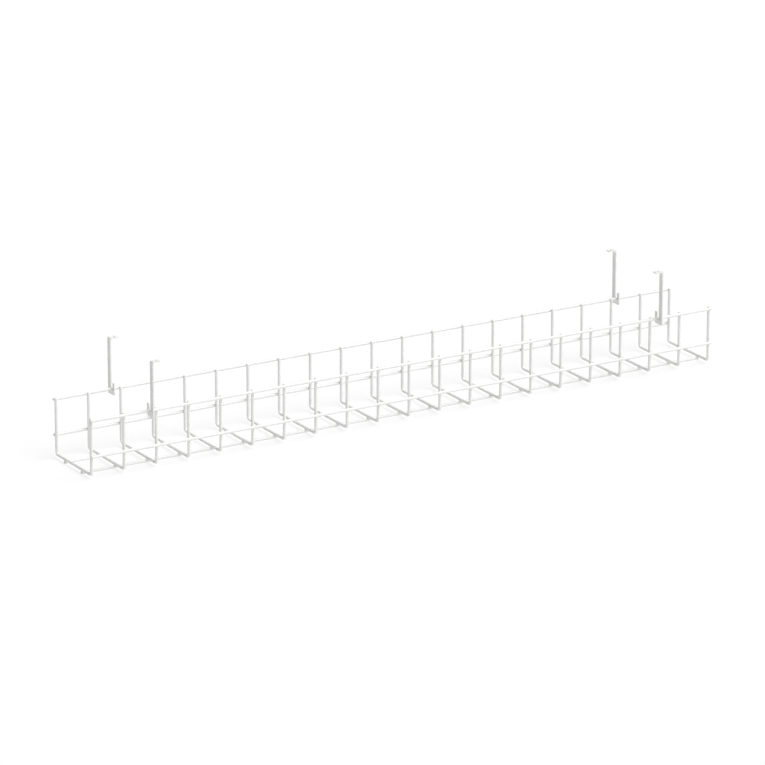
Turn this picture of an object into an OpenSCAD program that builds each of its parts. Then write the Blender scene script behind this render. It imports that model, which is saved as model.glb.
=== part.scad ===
// Under-desk cable basket: a U-shaped trough of welded steel wire that hangs
// from four flat hooks screwed to the underside of a desk top.
//
// X runs along the basket, Y across it and Z up. The origin is in the middle
// of the trough, on the plane that its two floor wires stand on.
// Lengths are in millimetres.

/* [Mesh] */
// Diameter of every wire
wire_d = 5; // [3:0.1:6]
// Distance between neighbouring cross wires, centre to centre
pitch = 60; // [40:1:80]
// Number of mesh spaces along the basket
spaces = 20; // [6:1:24]
// Length by which the long wires run past the last cross wire
end_overhang = 0.5; // [0.5:0.5:15]
// Depth to which crossing wires are pressed into each other by the weld
weld_depth = 0.4; // [0.2:0.05:0.7]

/* [Trough section] */
// Clear width between the two rows of legs
inner_w = 118; // [90:1:180]
// Depth of the trough, from its floor to the tips of the legs
inner_h = 94.5; // [80:0.5:140]
// Height of the leg tips above the top wires
tip_stand = 0.5; // [0.25:0.25:5]
// Inside radius of the bend between floor and leg
bend_r = 3; // [2:0.5:12]
// Distance from the top wire down to the middle wire, centre to centre
mid_drop = 61.5; // [20:0.5:66]
// Distance between the two floor wires, centre to centre
floor_gap = 60; // [20:1:75]

/* [Hangers] */
// Thickness of the hanger's sheet steel
sheet_t = 2; // [1.5:0.1:3]
// Width of the upright strap
strap_w = 9.5; // [8:0.5:16]
// Height from the centre of the top wire to the top of the flange
hang_h = 87; // [40:1:160]
// Play of the top wire in its slot, on each side
slot_play = 0.6; // [0.5:0.05:1.5]
// Gap between the wire and the bottom of its slot
seat_gap = 0.3; // [0.2:0.05:0.6]
// Steel left below the slot
hook_web = 6.75; // [4:0.25:14]
// Width of the hook's free leg
tip_w = 5.5; // [3:0.5:10]
// Height of the free leg above the centre of the top wire
tip_rise = 11.5; // [6:0.5:20]
// Radius of the hook's lower corners
corner_r = 2.5; // [1:0.25:3]
// Length of the screw flange, from the back of the strap to its free end
flange_l = 15; // [12:0.5:30]
// Inside radius of the bend between strap and flange
fold_r = 1; // [0.5:0.25:2]
// Diameter of the screw hole
screw_d = 4.5; // [3:0.1:5.5]
// Distance from the centre of the screw hole to the flange's free end
screw_end = 5.5; // [4.5:0.25:8]
// Mesh space, counted from the end, that the hanger sits in
hanger_space = 2; // [1:1:3]
// Distance from the hanger to the cross wire on its inner side, centre to centre
hanger_offset = 13.5; // [6:0.5:30]

/* [Hidden] */

coat = [0.93, 0.93, 0.92];          // white powder coat
wire_sides = 8;                     // flats round each wire
flat_turn = 180 / wire_sides;       // turns a flat to face along the axes
wire_r = wire_d / 2;
corner_of_wire = wire_r / cos(flat_turn);

weld_step = wire_d - weld_depth;    // centre distance of two welded wires
run_l = spaces * pitch;             // first to last cross wire
long_l = run_l + wire_d + 2 * end_overhang;

floor_z = wire_r;                   // centres of the floor wires
cross_z = floor_z + weld_step;      // centre of a cross wire's floor
leg_y = inner_w / 2 + wire_r;       // centre of a leg
side_y = leg_y + weld_step;         // centres of the side wires
tip_z = cross_z + wire_r + inner_h; // tips of the legs
top_z = tip_z - tip_stand - wire_r; // centres of the top wires
mid_z = top_z - mid_drop;           // centres of the middle wires
turn_r = bend_r + wire_r;           // centreline radius of the bend

hanger_x = run_l / 2 - hanger_space * pitch + hanger_offset;
slot_bottom = -wire_r - seat_gap;   // heights are from the top wire's centre
round_r = wire_r + slot_play;       // half the slot's width
hook_low = slot_bottom - hook_web;
strap_y = round_r;                  // the strap's edge, from the wire's centre
hook_outer = strap_y + strap_w;
hook_inner = -round_r - tip_w;
fold_low = hang_h - sheet_t - fold_r;
round_fn = 48;
cut = 1;                            // length by which a cut overshoots

// Section of a wire, with flats facing the ways that wires are welded
module wire_section() {
    rotate(flat_turn) circle(r = corner_of_wire, $fn = wire_sides);
}

// Straight wire from the origin along Z
module straight(length) {
    linear_extrude(length) wire_section();
}

// Quarter bend about the origin, starting at the angle given
module quarter(from) {
    rotate([0, 0, from]) rotate_extrude(angle = 90, $fn = round_fn)
        translate([turn_r, 0]) wire_section();
}

// One U-shaped cross wire, drawn flat and then stood across the basket
module cross_wire() {
    floor_l = 2 * (leg_y - turn_r);
    leg_l = tip_z - cross_z - turn_r;
    rotate([90, 0, 90]) translate([0, cross_z]) {
        translate([-floor_l / 2, 0]) rotate([0, 90, 0]) straight(floor_l);
        for (side = [-1, 1]) {
            translate([side * leg_y, turn_r]) rotate([-90, 0, 0]) straight(leg_l);
            translate([side * floor_l / 2, turn_r]) quarter(side < 0 ? 180 : 270);
        }
    }
}

// One straight wire along the basket at the place given
module long_wire(y, z) {
    translate([-long_l / 2, y, z]) rotate([0, 90, 0]) straight(long_l);
}

// The welded trough: cross wires inside, long wires outside and underneath
module wire_basket() {
    color(coat) union() {
        for (i = [0 : spaces]) translate([i * pitch - run_l / 2, 0]) cross_wire();
        for (side = [-1, 1]) {
            long_wire(side * side_y, top_z);
            long_wire(side * side_y, mid_z);
            long_wire(side * floor_gap / 2, floor_z);
        }
    }
}

// Outline of the strap and its hook, seen along the basket, with the top
// wire's centre at the origin and the strap on the positive side
module hook_outline() {
    difference() {
        union() {
            translate([strap_y, slot_bottom]) square([strap_w, fold_low - slot_bottom]);
            translate([hook_inner, slot_bottom]) square([tip_w, tip_rise - slot_bottom]);
            translate([hook_inner, hook_low + corner_r])
                square([hook_outer - hook_inner, slot_bottom + round_r - hook_low - corner_r]);
            translate([hook_inner + corner_r, hook_low])
                square([hook_outer - hook_inner - 2 * corner_r, hook_web]);
            for (y = [hook_inner + corner_r, hook_outer - corner_r])
                translate([y, hook_low + corner_r]) circle(corner_r, $fn = round_fn);
        }
        translate([0, slot_bottom + round_r]) circle(round_r, $fn = round_fn);
        translate([-round_r, slot_bottom + round_r]) square([2 * round_r, tip_rise + cut]);
    }
}

// Screw flange: the strap folded over towards the middle of the basket
module flange() {
    flat_l = flange_l - sheet_t - fold_r;
    translate([sheet_t + fold_r, strap_y + strap_w, fold_low]) rotate([90, 0, 0])
        rotate([0, 0, 90]) rotate_extrude(angle = 90, $fn = round_fn)
            translate([fold_r, 0]) square([sheet_t, strap_w]);
    difference() {
        translate([flange_l - flat_l, strap_y, hang_h - sheet_t])
            cube([flat_l, strap_w, sheet_t]);
        translate([flange_l - screw_end, strap_y + strap_w / 2, hang_h - sheet_t - cut])
            cylinder(d = screw_d, h = sheet_t + 2 * cut, $fn = round_fn);
    }
}

// The hanger of the back left corner, hooked under the top wire
module hanger() {
    color(coat) translate([-hanger_x - sheet_t / 2, side_y, top_z]) {
        rotate([90, 0, 90]) linear_extrude(sheet_t) hook_outline();
        flange();
    }
}

module hanger_back_left() { hanger(); }
module hanger_front_left() { mirror([0, 1, 0]) hanger(); }
module hanger_back_right() { mirror([1, 0, 0]) hanger(); }
module hanger_front_right() { mirror([1, 0, 0]) mirror([0, 1, 0]) hanger(); }

wire_basket();
hanger_back_left();
hanger_front_left();
hanger_back_right();
hanger_front_right();
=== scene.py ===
# %% [markdown]
# # A wire mesh cable basket
#
# This is the long white trough that hangs under a desk and carries its cables. It is made of
# steel wire: 21 short wires bent into a U, and 6 long wires welded across the outside of them.
# Four hooks of flat sheet steel hold it up. Everything is covered with white powder coat.
#
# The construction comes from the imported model, which is loaded first and stays where it is.
# Its wires have only eight flats each, and all its edges are sharp. Here the wires become round,
# with swollen welds and softened ends, and the hooks get the soft edges that a coat of powder
# gives to punched steel. The outer size stays the same.

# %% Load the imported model
from math import atan, cos, degrees, pi, radians, sin

import bmesh
import bpy
import numpy as np
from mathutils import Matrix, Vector


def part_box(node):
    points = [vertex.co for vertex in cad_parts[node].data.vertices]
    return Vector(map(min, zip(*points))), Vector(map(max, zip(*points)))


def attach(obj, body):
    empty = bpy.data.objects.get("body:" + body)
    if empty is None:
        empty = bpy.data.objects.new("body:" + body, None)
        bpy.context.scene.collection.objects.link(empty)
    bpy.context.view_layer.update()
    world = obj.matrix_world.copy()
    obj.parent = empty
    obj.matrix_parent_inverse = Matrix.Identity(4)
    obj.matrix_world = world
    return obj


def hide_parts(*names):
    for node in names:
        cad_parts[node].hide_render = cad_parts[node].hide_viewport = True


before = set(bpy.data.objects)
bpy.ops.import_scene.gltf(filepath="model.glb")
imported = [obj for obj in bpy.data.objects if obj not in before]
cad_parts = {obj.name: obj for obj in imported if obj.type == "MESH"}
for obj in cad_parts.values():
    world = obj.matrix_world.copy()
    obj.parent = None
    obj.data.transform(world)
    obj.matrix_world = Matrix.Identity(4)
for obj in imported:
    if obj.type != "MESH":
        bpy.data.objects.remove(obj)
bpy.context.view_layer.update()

MM = 0.001                  # Blender counts in metres

# %% [markdown]
# ## The sizes of the wires
#
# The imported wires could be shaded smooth, but their flats would still show in outline. So each
# wire is worked out again from the basket's box and from the few sizes that a box can't tell:
# the wire's thickness, how deep a weld presses two wires together, the radius of the bend, how
# far the long wires run past the last cross wire and the leg tips past the top wires, where the
# middle wires and the floor wires lie, and how many mesh spaces there are. Each size is written
# once and every place follows from it, so the wires keep up with a longer, wider or higher box.

# %% Measure the basket
WIRE_R = 2.5 * MM           # radius of every wire
WELD_STEP = 4.6 * MM        # distance between the centres of two welded wires
TURN_R = 5.5 * MM           # radius of the bend, at the wire's centre
OVERHANG = 0.5 * MM         # the long wires run this far past the last cross wire
TIP_STAND = 0.5 * MM        # the leg tips stand this far above the top wires
MID_DROP = 61.5 * MM        # from the top wires down to the middle wires
FLOOR_GAP = 60 * MM         # between the two floor wires
SPACES = 20                 # mesh spaces along the basket

basket_low, basket_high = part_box("wire_basket")
END_X = basket_high.x                        # where the long wires end
RUN_X = END_X - OVERHANG - WIRE_R            # centre of the last cross wire
SIDE_Y = basket_high.y - WIRE_R              # centres of the side wires
LEG_Y = SIDE_Y - WELD_STEP                   # centres of the legs
FLOOR_Z = basket_low.z + WIRE_R              # centres of the floor wires
CROSS_Z = FLOOR_Z + WELD_STEP                # centre of a cross wire's floor
TIP_Z = basket_high.z                        # tips of the legs
TOP_Z = TIP_Z - TIP_STAND - WIRE_R           # centres of the top wires
MID_Z = TOP_Z - MID_DROP                     # centres of the middle wires
cross_x = np.linspace(-RUN_X, RUN_X, SPACES + 1)
print(len(cross_x), "cross wires,", round(2 * RUN_X / SPACES / MM, 2), "mm apart")

# %% [markdown]
# ## From numbers to a mesh
#
# A wire is a circle carried along a line. So a point of its skin needs only two numbers: how
# far along the wire it is, and at what angle round it. A grid of such points can be worked out
# for all the wires at once with whole arrays, which is quick and has no loop over points.
# A curve with a bevel would be shorter to write, but it has one thickness all round, and a weld
# swells the wire on one side only.

# %% Carry a ring of points along many wires
SIDES = 24                                   # points round a wire
angle = np.arange(SIDES) * 2 * pi / SIDES
angle = (angle + pi) % (2 * pi) - pi         # from -180 to 180 degrees, 0 faces the weld


def rings(centre, out, across, radius):
    """Points of the skin: centre + radius * (cos(angle) * out + sin(angle) * across).
    centre, out and across hold one row for each ring of each wire, and radius one for
    each point of a ring."""
    part_out = np.cos(angle)[:, None] * out[..., None, :]
    part_across = np.sin(angle)[:, None] * across[..., None, :]
    return centre[..., None, :] + radius[..., None] * (part_out + part_across)


print(SIDES, "points round a wire,", 360 / SIDES, "degrees apart")

# %% [markdown]
# ### Closing the skins
#
# The grid is only a bent tube of points so far. Neighbours are joined into squares, and each end
# gets one more point in its middle with triangles round it. A single face with 24 corners would
# close an end too, but an export cuts such a face into slivers, and a fan has equal triangles.

# %% Join the points into closed meshes


def closed_skins(skin):
    """Corners and faces of closed tubes. skin[wire, ring, point] is the grid. Each square of it
    is a face, and a fan of triangles round the middle of the first and last ring closes the ends."""
    wires, count, sides, _ = skin.shape
    grid = np.arange(wires * count * sides).reshape(wires, count, sides)
    turned = np.roll(grid, -1, axis=2)
    squares = np.stack([grid[:, :-1], turned[:, :-1], turned[:, 1:], grid[:, 1:]], axis=-1)
    first_middle = np.broadcast_to(grid.size + np.arange(wires)[:, None], (wires, sides))
    last_middle = first_middle + wires
    start = np.stack([first_middle, turned[:, 0], grid[:, 0]], axis=-1)
    end = np.stack([last_middle, grid[:, -1], turned[:, -1]], axis=-1)
    middles = np.concatenate([skin[:, 0].mean(axis=1), skin[:, -1].mean(axis=1)])
    corners = np.concatenate([skin.reshape(-1, 3), middles])
    fans = np.concatenate([start.reshape(-1, 3), end.reshape(-1, 3)])
    return corners, squares.reshape(-1, 4).tolist() + fans.tolist()


def new_piece(name, corners, faces):
    """A smooth mesh object at the origin, with its place in its corners."""
    mesh = bpy.data.meshes.new(name)
    mesh.from_pydata(corners.tolist(), [], faces)
    mesh.shade_smooth()
    piece = bpy.data.objects.new(name, mesh)
    bpy.context.scene.collection.objects.link(piece)
    return piece


# %% Say what a piece has become


def describe(piece):
    """Prints a piece's triangles, its open edges, and its volume, which is a sum over its faces
    and is above zero only if they point outwards."""
    shape = bmesh.new()
    shape.from_object(piece, bpy.context.evaluated_depsgraph_get())
    triangles = sum(len(face.verts) - 2 for face in shape.faces)
    open_edges = sum(not edge.is_manifold for edge in shape.edges)
    volume = shape.calc_volume(signed=True) / MM**3
    print(f"{piece.name}: {triangles} triangles, {volume:.0f} mm3, {open_edges} open edges")
    shape.free()


# %% [markdown]
# ## What the weld does to a wire
#
# Mesh is welded by pressing two crossing wires together while a current runs through them.
# They sink a little into each other, and hot steel squeezes out round the spot. The powder
# coat then fills the sharp crevice that is left. So each wire is swollen towards the other
# one, close to the crossing. A sphere put over each crossing would look stuck on. Here the
# radius itself grows, by two bell curves multiplied together: one along the wire and one
# round it. Each wire of a pair fills the crevice along its own length.
#
# The ends are sheared off square and the coat softens the edge, so the radius shrinks along a
# quarter circle there.

# %% Radius of a wire
WELD_RISE = 2.0 * MM        # how far the steel would rise right under the other wire
WELD_REACH = 1.8 * MM       # along the wire, the bell is down to about a third here
WELD_SPREAD = radians(42)   # and here round the wire
END_SOFT = 0.8 * MM         # radius of the softened edge at a sheared end


def end_shrink(to_end):
    """How much thinner the wire is at this distance from its end: a quarter circle, so
    radius - root(radius squared - missing squared)."""
    missing = np.clip(END_SOFT - to_end, 0, END_SOFT)
    return END_SOFT - np.sqrt(END_SOFT**2 - missing**2)


def wire_radius(along, half_length, welds):
    """Radius for each ring and angle: the plain wire, less the soft end, plus the welds' bells.
    A bell is e to the power of -(distance / width) squared."""
    plain = WIRE_R - end_shrink(half_length - np.abs(along))
    lengthwise = np.exp(-(((along[:, None] - welds) / WELD_REACH) ** 2)).sum(axis=1)
    roundwise = np.exp(-((angle / WELD_SPREAD) ** 2))
    return plain[:, None] + WELD_RISE * lengthwise[:, None] * roundwise


print("a weld swells", round(2 * WELD_REACH / MM, 1), "mm of the wire")

# %% Where the rings of a wire go
END_RINGS = 6               # rings on each softened end
WELD_RINGS = 13             # rings at each weld
WELD_SPAN = 4 * MM          # how far they go to either side of it
RING_DECIMALS = 6           # of a metre: rings closer than a thousandth of a millimetre are one


def ring_places(half_length, welds, more=()):
    """Distances from the wire's middle that get a ring: close together at the two ends and at
    the welds, and wherever else the shape changes."""
    soft = half_length - END_SOFT * (1 - np.cos(np.linspace(0, pi / 2, END_RINGS)))
    near_weld = np.linspace(-WELD_SPAN, WELD_SPAN, WELD_RINGS)
    near_welds = (np.asarray(welds)[:, None] + near_weld).ravel()
    places = np.concatenate([soft, -soft, near_welds, more])
    return np.unique(np.round(places[np.abs(places) <= half_length], RING_DECIMALS))


print(len(ring_places(END_X, cross_x)), "rings on a long wire")

# %% [markdown]
# ## The cross wires
#
# Each cross wire is one straight piece of wire, bent up at both ends. Seen along the basket it
# is a flat floor, a quarter turn and a straight leg, and the same again the other way round.
# One formula gives all of it: go along the floor as far as it reaches, use up what is left on
# the quarter turn, and what is left then on the leg. All 21 are alike, so the shape is worked
# out once and then moved along the basket.

# %% Build the cross wires
HALF_FLOOR = LEG_Y - TURN_R                  # from the middle to where the bend starts
BEND_L = TURN_R * pi / 2
LEG_L = TIP_Z - CROSS_Z - TURN_R
HALF_CROSS = HALF_FLOOR + BEND_L + LEG_L     # half the length of the wire, along its middle
BEND_RINGS = 10


def cross_wire_line(along):
    """Centre line of a U, by distance from the middle of its floor: first the floor, then a
    quarter circle, y + radius * sin(turn) and z + radius * (1 - cos(turn)), then the leg.
    Gives the points and, for each, the way that faces out of the U."""
    side, far = np.sign(along), np.abs(along)
    turn = np.clip((far - HALF_FLOOR) / TURN_R, 0, pi / 2)
    y = side * (np.minimum(far, HALF_FLOOR) + TURN_R * np.sin(turn))
    leg = np.maximum(far - HALF_FLOOR - BEND_L, 0)
    z = CROSS_Z + TURN_R * (1 - np.cos(turn)) + leg
    flat = np.zeros_like(y)
    outwards = np.stack([flat, side * np.sin(turn), -np.cos(turn)], axis=-1)
    return np.stack([flat, y, z], axis=-1), outwards


def place_on_leg(z):
    """Distance from the middle of the floor to this height on a leg: half the floor, the bend
    and what the leg has risen above the bend."""
    return HALF_FLOOR + BEND_L + z - CROSS_Z - TURN_R


half_welds = np.array([FLOOR_GAP / 2, place_on_leg(MID_Z), place_on_leg(TOP_Z)])
cross_welds = np.concatenate([-half_welds, half_welds])
bend = HALF_FLOOR + np.linspace(0, BEND_L, BEND_RINGS)
along = ring_places(HALF_CROSS, cross_welds, np.concatenate([-bend, bend]))
line, outwards = cross_wire_line(along)
shift = np.stack([cross_x, 0 * cross_x, 0 * cross_x], axis=-1)[:, None, :]
backwards = np.array([-1.0, 0, 0])
skin = rings(line + shift, outwards, backwards, wire_radius(along, HALF_CROSS, cross_welds))
cross_wires = new_piece("cross_wires", *closed_skins(skin))
describe(cross_wires)

# %% [markdown]
# ## The long wires
#
# Six straight wires run the whole length outside the cross wires: two along the top of the
# sides, two lower down, and two under the floor. Each is welded to all 21 cross wires, so it
# has 21 swellings, and they all face the inside of the basket.

# %% Build the long wires
up, inwards = np.array([0.0, 0, 1]), np.array([0.0, -1, 0])
long_wire_places = [
    (side * y, z, facing)
    for side in (1, -1)
    for y, z, facing in (
        (SIDE_Y, TOP_Z, side * inwards),
        (SIDE_Y, MID_Z, side * inwards),
        (FLOOR_GAP / 2, FLOOR_Z, up),
    )
]
along = ring_places(END_X, cross_x)
line = np.stack([along, 0 * along, 0 * along], axis=-1)
starts = np.array([[0, y, z] for y, z, _ in long_wire_places])[:, None, :]
facing = np.array([way for _, _, way in long_wire_places])[:, None, :]
sideways = np.cross([1.0, 0, 0], facing)
skin = rings(line + starts, facing, sideways, wire_radius(along, END_X, cross_x))
long_wires = new_piece("long_wires", *closed_skins(skin))
describe(long_wires)

# %% [markdown]
# ## Standing in for the imported wires
#
# A new piece is nobody's until two calls tie it to the imported model: the imported node it stands in
# for is hidden, and the piece moves with a body. This basket has no joint, so every piece moves with
# the one body, root.

# %% Tie the wires to the imported model
for wires in (cross_wires, long_wires):
    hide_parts("wire_basket")
    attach(wires, "root")
    print(wires.name, "stands in for wire_basket")

# %% [markdown]
# ## The hangers
#
# A hanger starts as a flat strip, punched out of 2 mm sheet with its slot and its screw hole.
# Its top end is then folded over. Here the flange, the fold and the strap are drawn one by one
# as a sheet with no thickness and joined. A Solidify modifier gives it the thickness, a Bevel
# modifier rounds the punched edges, and Weighted Normal keeps the large faces looking flat.
# Cutting the shape out of a block with booleans would work too, but it leaves no clean edges
# for the bevel.

# %% Sizes of a hanger
SHEET_T = 2 * MM            # thickness of the sheet
STRAP_W = 9.5 * MM
SLOT_R = 3.1 * MM           # half the slot's width, and the radius of its bottom
SEAT_GAP = 0.3 * MM         # between the wire and the bottom of its slot
HOOK_WEB = 6.75 * MM        # steel left below the slot
TIP_W = 5.5 * MM            # width of the hook's free leg
TIP_RISE = 11.5 * MM        # height of the free leg above the wire's centre
CORNER_R = 2.5 * MM         # the hook's lower corners
FOLD_R = 2 * MM             # radius of the fold, in the middle of the sheet
SCREW_R = 2.25 * MM         # radius of the screw hole
SCREW_END = 5.5 * MM        # from the screw hole's centre to the free end
EDGE_SOFT = 0.4 * MM        # radius of a punched and coated edge

hanger_low, hanger_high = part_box("hanger_back_left")
SHEET_X = hanger_low.x + SHEET_T / 2         # middle of the upright sheet
FLANGE_X = hanger_high.x                     # free end of the flange
FLANGE_Z = hanger_high.z - SHEET_T / 2       # middle of the flange
FOLD_X = SHEET_X + FOLD_R                    # where the flange starts
FOLD_Z = FLANGE_Z - FOLD_R                   # where the upright sheet ends
STRAP_Y = SIDE_Y + SLOT_R                    # inner edge of the strap
SCREW_X, SCREW_Y = FLANGE_X - SCREW_END, STRAP_Y + STRAP_W / 2
print("the hanger is", round((hanger_high.z - hanger_low.z) / MM, 1), "mm high")

# %% [markdown]
# ### The flange
#
# The flange is the level end of the hanger. A wood screw through its hole holds it against the
# underside of the desk top. Long thin triangles would run from a hole in a plain rectangle to
# its corners. Here the points lie on rays that go out from the hole's centre, so the faces
# between them stay short.

# %% Join a grid of points into a sheet


def sheet_of(x, y, z, closed):
    """Points and squares of a sheet, from three grids of one shape. A square joins a point, the
    one below it and the two beside these, and if closed, the last column to the first."""
    grid = np.arange(x.size).reshape(x.shape)
    beside = np.roll(grid, -1, axis=1)
    if not closed:
        grid, beside = grid[:, :-1], beside[:, :-1]
    squares = np.stack([grid[:-1], grid[1:], beside[1:], beside[:-1]], axis=-1)
    return np.stack([x, y, z], axis=-1).reshape(-1, 3), squares.reshape(-1, 4)


# %% Draw the flange, from the screw hole out to its edges
HOLE_STEPS = 40                                 # rays, besides one to each corner
NEAR_HOLE = 0.35                                # where the middle ring lies between rim and edge
RING_STEPS = np.array([0, NEAR_HOLE, 1])[:, None]
ALMOST_ZERO = 0.001                             # keeps a ray along one side from dividing by 0
POINT_DECIMALS = 7                              # of a metre: points that agree so far are one


def flange_sheet():
    """Grid by step and angle round the screw hole. Step 0 lies on its rim and step 1 on the
    flange's edges, where a ray from the hole's centre first meets one of the four sides: at
    the lesser of length / cos(angle) and width / sin(angle)."""
    to_end, to_fold, to_side = FLANGE_X - SCREW_X, SCREW_X - FOLD_X, STRAP_W / 2
    corners = [np.arctan2(y, x) for x in (to_end, -to_fold) for y in (-to_side, to_side)]
    turn = np.sort(np.concatenate([np.arange(HOLE_STEPS) * 2 * pi / HOLE_STEPS - pi, corners]))
    length = np.where(np.cos(turn) > 0, to_end, to_fold)
    lengthwise = length / np.maximum(np.abs(np.cos(turn)), ALMOST_ZERO)
    crosswise = to_side / np.maximum(np.abs(np.sin(turn)), ALMOST_ZERO)
    edge = np.minimum(lengthwise, crosswise)
    distance = SCREW_R + (edge - SCREW_R) * RING_STEPS
    x, y = SCREW_X + distance * np.cos(turn), SCREW_Y + distance * np.sin(turn)
    return sheet_of(x, y, np.full_like(x, FLANGE_Z), closed=True)


flange_points, flange_squares = flange_sheet()
on_fold = np.isclose(flange_points[:, 0], FOLD_X)
fold_y = np.unique(np.round(flange_points[on_fold, 1], POINT_DECIMALS))
print(len(flange_squares), "squares in the flange,", len(fold_y), "points along the fold")

# %% [markdown]
# ### The fold
#
# The press folds the strip over a rounded edge, which leaves a quarter of a tube between the
# strap and the flange. Its points across the strip are the flange's own, so the two meet point
# on point and can be joined without a seam.

# %% Draw the fold
FOLD_STEPS = 10


def fold_sheet():
    """Grid by angle and width: a quarter circle from the top of the strap over to the flange,
    at x - radius * cos(turn) and z + radius * sin(turn)."""
    turn, y = np.meshgrid(np.linspace(0, pi / 2, FOLD_STEPS + 1), fold_y, indexing="ij")
    x, z = FOLD_X - FOLD_R * np.cos(turn), FOLD_Z + FOLD_R * np.sin(turn)
    return sheet_of(x, y, z, closed=False)


fold_points, fold_squares = fold_sheet()
print(len(fold_squares), "squares in the fold")

# %% [markdown]
# ### The strap and its hook
#
# Below the fold the strip is flat. The top wire of the basket lies in the slot between the strap
# and a short free leg. A flat face needs no grid, so only its outline is worked out, and the
# whole of it stays one face.

# %% Draw the strap with its hook
ARC_STEPS = 16


def arc(y, z, radius, start, end):
    """Points of an arc about (y, z): centre + radius * (cos, sin), between two angles in
    degrees."""
    turn = np.radians(np.linspace(start, end, ARC_STEPS + 1))
    return np.stack([y + radius * np.cos(turn), z + radius * np.sin(turn)], axis=-1)


def hook_outline():
    """Outline of the upright sheet, as arcs and corners one after another: along the fold, down
    the outside of the strap, round the two lower corners, up the free leg, round the bottom of
    the slot and up the inside of the strap."""
    slot_z = TOP_Z - WIRE_R - SEAT_GAP
    low, outer = slot_z - HOOK_WEB, STRAP_Y + STRAP_W
    slot_inner = SIDE_Y - SLOT_R
    inner, tip = slot_inner - TIP_W, TOP_Z + TIP_RISE
    yz = np.concatenate([
        np.stack([fold_y, np.full_like(fold_y, FOLD_Z)], axis=-1),
        arc(outer - CORNER_R, low + CORNER_R, CORNER_R, 0, -90),
        arc(inner + CORNER_R, low + CORNER_R, CORNER_R, -90, -180),
        [[inner, tip], [slot_inner, tip]],
        arc(SIDE_Y, slot_z + SLOT_R, SLOT_R, 180, 360),
    ])
    return np.column_stack([np.full(len(yz), SHEET_X), yz])


hook_points = hook_outline()
print(len(hook_points), "points round the strap and its hook")

# %% Join the three stretches


def hanger_sheet():
    """All of the hanger as a sheet with no thickness. Points that lie on each other, where two
    stretches meet, become one."""
    points = np.concatenate([flange_points, fold_points, hook_points])
    fold_start = len(flange_points)
    hook_start = fold_start + len(fold_points)
    faces = [*flange_squares.tolist(), *(fold_squares + fold_start).tolist(),
             list(range(hook_start, len(points)))]
    points, same = np.unique(np.round(points, POINT_DECIMALS), axis=0, return_inverse=True)
    return points, [same.ravel()[face].tolist() for face in faces]


sheet_points, sheet_faces = hanger_sheet()
print(len(sheet_points), "points and", len(sheet_faces), "faces in the whole sheet")

# %% [markdown]
# ### Four hangers from one sheet
#
# The sheet is drawn for the back left corner. The other three hangers are its mirror images
# along the basket, across it, or both ways. One mirror turns a shape inside out, so there each
# face's corners are read backwards. A Mirror modifier would make all four one piece, but they
# are four separate parts.

# %% Give the sheet its thickness
EDGE_STEPS = 3                               # faces across a softened edge
EDGE_ANGLE = radians(40)                     # an edge that turns by more than this is softened


def thicken(piece):
    """Gives the sheet its thickness and rounds every punched edge."""
    solid = piece.modifiers.new("sheet", "SOLIDIFY")
    solid.thickness = SHEET_T
    solid.offset = 0                         # half of the thickness goes to each side
    solid.use_even_offset = True
    soft = piece.modifiers.new("soft_edges", "BEVEL")
    soft.width, soft.segments = EDGE_SOFT, EDGE_STEPS
    soft.limit_method, soft.angle_limit = "ANGLE", EDGE_ANGLE
    flat = piece.modifiers.new("flat_faces", "WEIGHTED_NORMAL")
    flat.keep_sharp = False


# %% Make the four hangers
hangers = []
for row, flip_y in (("back", 1), ("front", -1)):
    for end, flip_x in (("left", 1), ("right", -1)):
        inside_out = flip_x * flip_y < 0
        faces = [face[::-1] for face in sheet_faces] if inside_out else sheet_faces
        piece = new_piece(f"sheet_{row}_{end}", sheet_points * [flip_x, flip_y, 1], faces)
        thicken(piece)
        describe(piece)
        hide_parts(f"hanger_{row}_{end}")
        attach(piece, "root")
        hangers.append(piece)

# %% [markdown]
# ## Writing shader maths as sums
#
# A material is a graph of nodes, and a page of lines that make and join nodes is hard to read.
# The small class below stands for one output socket. Adding, subtracting or multiplying with it
# makes the Math node and joins it up, so a mask can be written down as a sum. Every other node
# comes from one function that makes any kind.

# %% A socket that works in sums


class Socket:
    """An output socket of a shader node. A sum with it adds Math nodes to its tree."""

    def __init__(self, tree, socket):
        self.tree, self.socket = tree, socket

    def math(self, operation, first, second):
        """One Math node: first and second are sockets or numbers."""
        return make_node(self.tree, "ShaderNodeMath", {"operation": operation}, {0: first, 1: second})

    def __add__(self, other):
        return self.math("ADD", self, other)

    def __radd__(self, other):
        return self.math("ADD", other, self)

    def __sub__(self, other):
        return self.math("SUBTRACT", self, other)

    def __rsub__(self, other):
        return self.math("SUBTRACT", other, self)

    def __mul__(self, other):
        return self.math("MULTIPLY", self, other)

    def __rmul__(self, other):
        return self.math("MULTIPLY", other, self)


def make_node(tree, kind, settings=(), values=(), output=0):
    """Any node: its settings are set first, then each socket takes a value or a link. Gives back
    the wanted output, or None for a node that has no outputs."""
    node = tree.nodes.new(kind)
    for name, setting in dict(settings).items():
        setattr(node, name, setting)
    for name, value in dict(values).items():
        if isinstance(value, Socket):
            tree.links.new(value.socket, node.inputs[name])
        else:
            node.inputs[name].default_value = value
    return Socket(tree, node.outputs[output]) if node.outputs else None


def empty_tree(owner):
    """Turns on the nodes of a material or a world, and gives back its tree with nothing in it."""
    owner.use_nodes = True
    owner.node_tree.nodes.clear()
    return owner.node_tree


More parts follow.
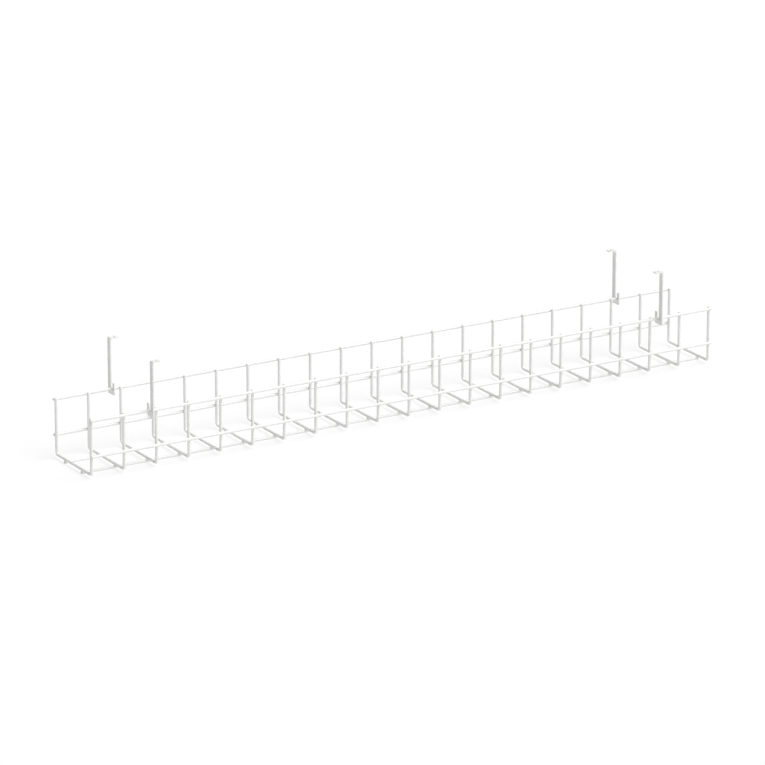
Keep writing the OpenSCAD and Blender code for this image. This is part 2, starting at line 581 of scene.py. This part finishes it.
# %% [markdown]
# ## Powder coat
#
# Powder coat is sprayed on dry, sticks by static and melts into a skin a tenth of a millimetre
# thick. It is a little wavy, like the peel of an orange, because it sets before it has flowed
# quite level, and where it is thinner its white is a touch greyer. The steel under it never
# shows, so this is no metal shader: it is a white plastic with a medium gloss. Waves and clouds
# are noise in the object's own coordinates, which need no unwrapping and give them one size on
# every piece. Sheets get a slightly duller coat with lower waves than wires.

# %% Build the two finishes
WHITE = (0.87, 0.87, 0.86, 1)
THIN_WHITE = (0.80, 0.80, 0.79, 1)          # where the coat is thin
CLOUDS = 28                                 # to the metre, so about 36 mm apart
PEEL = 620                                  # waves of the orange peel, about 1.6 mm apart
SPECKS = 2600                               # about 0.4 mm apart
CLOUD_THINS, SPECK_THINS = 0.5, 0.25        # how far each takes the colour to THIN_WHITE
CLOUD_DULLS, PEEL_DULLS = 0.10, 0.08        # how far each shifts the roughness
SPECK_HEIGHT = 0.2                          # height of a speck, as a share of a wave's
NOISE_MEAN = 0.5
COAT_IOR = 1.5
MIX_A, MIX_B, MIX_RESULT = 6, 7, 2          # the Mix node's colour sockets, whose names repeat


def noise(tree, place, per_metre, detail):
    """Cloudy values about NOISE_MEAN, with this many clouds to the metre. Each step of detail
    adds a layer of clouds of half the size."""
    return make_node(tree, "ShaderNodeTexNoise", output="Fac", values={
        "Vector": place, "Scale": per_metre, "Detail": detail})


def powder_coat(name, gloss_roughness, peel_height):
    """White powder coat with orange peel and faint clouds. The colour goes from WHITE to
    THIN_WHITE by clouds and specks, the roughness is the gloss's own plus what clouds and
    peel shift it, and peel and specks raise the surface."""
    material = bpy.data.materials.new(name)
    tree = empty_tree(material)
    place = make_node(tree, "ShaderNodeTexCoord", output="Object")
    clouds = noise(tree, place, CLOUDS, detail=2)
    peel = noise(tree, place, PEEL, detail=2)
    specks = noise(tree, place, SPECKS, detail=1)
    thin = clouds * CLOUD_THINS + specks * SPECK_THINS
    colour = make_node(tree, "ShaderNodeMix", {"data_type": "RGBA"}, {
        0: thin, MIX_A: WHITE, MIX_B: THIN_WHITE}, output=MIX_RESULT)
    roughness = gloss_roughness + (clouds - NOISE_MEAN) * CLOUD_DULLS + (peel - NOISE_MEAN) * PEEL_DULLS
    bump = make_node(tree, "ShaderNodeBump", values={
        "Strength": 1.0, "Distance": peel_height, "Height": peel + specks * SPECK_HEIGHT})
    coat = make_node(tree, "ShaderNodeBsdfPrincipled", values={
        "Base Color": colour, "Roughness": roughness, "IOR": COAT_IOR, "Normal": bump})
    make_node(tree, "ShaderNodeOutputMaterial", values={"Surface": coat})
    print(name, "has", len(tree.nodes), "nodes")
    return material


wire_finish = powder_coat("coated_wire_white", gloss_roughness=0.34, peel_height=0.05 * MM)
sheet_finish = powder_coat("coated_sheet_white", gloss_roughness=0.38, peel_height=0.045 * MM)
for piece in (cross_wires, long_wires):
    piece.data.materials.append(wire_finish)
for piece in hangers:
    piece.data.materials.append(sheet_finish)

# %% [markdown]
# ## The floor
#
# A white basket on white ground shows only by its shading and its shadow. So the ground has to
# look white and still carry the shadow. The floor is a pale one that throws light back, which
# keeps the undersides from going dark. A share of plain white is mixed into it, no brighter than
# the floor is in full light, and thins out the shadow. Brighter lamps would whiten the ground
# too, but they would burn out the wires' tops.

# %% Floor
FLOOR_SIZE = 14.0
FLOOR_DROP = 0.02 * MM       # keeps the floor just clear of the wires' undersides
FLOOR_COLOUR = (0.98, 0.98, 0.98, 1)
FLOOR_ROUGHNESS = 0.9
FLOOR_GLINT = 0.1            # specular level: a matt floor has almost no gloss
PURE_WHITE = (1, 1, 1, 1)
SHADOW_FADE = 0.7            # how far plain white washes the shadow out


def pale_floor():
    """A large square floor, a hair under the basket. Its light is (1 - SHADOW_FADE) of what it
    throws back, shadow and all, plus SHADOW_FADE of plain white."""
    half = FLOOR_SIZE / 2
    corners = np.array([[-half, -half], [half, -half], [half, half], [-half, half]])
    floor = new_piece("floor", np.column_stack([corners, np.full(4, -FLOOR_DROP)]), [[0, 1, 2, 3]])
    material = bpy.data.materials.new("pale_floor")
    tree = empty_tree(material)
    matt = make_node(tree, "ShaderNodeBsdfPrincipled", values={
        "Base Color": FLOOR_COLOUR, "Roughness": FLOOR_ROUGHNESS, "Specular IOR Level": FLOOR_GLINT})
    white = make_node(tree, "ShaderNodeEmission", values={"Color": PURE_WHITE, "Strength": 1.0})
    mixed = make_node(tree, "ShaderNodeMixShader", values={0: SHADOW_FADE, 1: matt, 2: white})
    make_node(tree, "ShaderNodeOutputMaterial", values={"Surface": mixed})
    floor.data.materials.append(material)


pale_floor()
print("the floor is", FLOOR_SIZE, "m square")

# %% [markdown]
# ## Sky and sun
#
# The light comes from one side, and an even sky fills in. The sky is plain white for whatever
# looks at it straight or by reflection, and lights the basket at a lower level. A wide soft sun
# stands high over the front right, so the left side of every wire and strap falls into a pale
# grey, which draws it. Area lamps would give the same soft shadows, but they light the near end
# of a long basket more than the far end, and a sun doesn't.

# %% Sky
SKY_LIGHT = 0.22             # how bright the sky is as a light
BACKDROP = 1.0               # and as a backdrop: plain white


def looked_at(tree):
    """1 for a ray that looks at the sky straight, in a reflection or through glass, and 0
    for one that only gathers light: the sum of three marks, of which a ray has at most one."""
    straight, mirrored, through = (
        make_node(tree, "ShaderNodeLightPath", output=mark)
        for mark in ("Is Camera Ray", "Is Glossy Ray", "Is Transmission Ray"))
    return straight + mirrored + through


def white_sky():
    """An even sky: SKY_LIGHT for a ray that gathers light and BACKDROP for one that looks."""
    world = bpy.data.worlds.new("studio")
    bpy.context.scene.world = world
    tree = empty_tree(world)
    light, backdrop = (
        make_node(tree, "ShaderNodeBackground", values={"Color": PURE_WHITE, "Strength": strength})
        for strength in (SKY_LIGHT, BACKDROP))
    mixed = make_node(tree, "ShaderNodeMixShader", values={0: looked_at(tree), 1: light, 2: backdrop})
    make_node(tree, "ShaderNodeOutputWorld", values={"Surface": mixed})


white_sky()
print("the sky lights with", SKY_LIGHT, "and looks like", BACKDROP)

# %% Sun


def soft_sun(name, seen_at, strength, width):
    """A sun that is seen in this direction from the basket. Its width, in degrees, softens the
    shadows."""
    data = bpy.data.lights.new(name, "SUN")
    data.energy, data.angle = strength, radians(width)
    lamp = bpy.data.objects.new(name, data)
    lamp.rotation_mode = "QUATERNION"
    lamp.rotation_quaternion = Vector(seen_at).to_track_quat("Z", "Y")
    bpy.context.scene.collection.objects.link(lamp)
    print(name, "stands", round(90 - degrees(Vector(seen_at).angle((0, 0, 1)))), "degrees high")


soft_sun("key", seen_at=(0.33, -0.40, 0.855), strength=3.0, width=60)
bpy.context.scene.view_settings.view_transform = "Standard"

# %% [markdown]
# ## The camera
#
# From the front left and a little above, the basket shows its floor, both sides and its hooks.
# A short lens close by would make the near end much larger than the far one. A long lens from
# far away keeps the two rows of legs nearly parallel.

# %% Camera
AZIMUTH, ELEVATION = radians(-30.45), radians(18.15)
DISTANCE = 9.54              # in metres
LENS, SENSOR = 266.7, 36     # in millimetres, as lenses are named
CLIP_START, CLIP_END = 0.1, 100
AIM_Z = 48.8 * MM            # the camera looks a little below half the trough's height
AIM_LEFT = 13.3 * MM         # and a little left of its middle, so the basket lies to the right


def place_camera():
    """Looks at the basket from the front left, slightly above, and gives the width of its view
    as an angle: twice the angle whose tangent is half the sensor over the lens."""
    back = Vector((sin(AZIMUTH) * cos(ELEVATION), -cos(AZIMUTH) * cos(ELEVATION), sin(ELEVATION)))
    right = Vector((cos(AZIMUTH), sin(AZIMUTH), 0))
    data = bpy.data.cameras.new("camera")
    data.lens, data.sensor_width = LENS, SENSOR
    data.clip_start, data.clip_end = CLIP_START, CLIP_END
    camera = bpy.data.objects.new("camera", data)
    camera.location = Vector((0, 0, AIM_Z)) - right * AIM_LEFT + back * DISTANCE
    camera.rotation_mode = "QUATERNION"
    camera.rotation_quaternion = (-back).to_track_quat("-Z", "Y")
    bpy.context.scene.collection.objects.link(camera)
    bpy.context.scene.camera = camera
    return 2 * atan(SENSOR / 2 / LENS)


print("field of view", round(degrees(place_camera()), 2), "degrees")
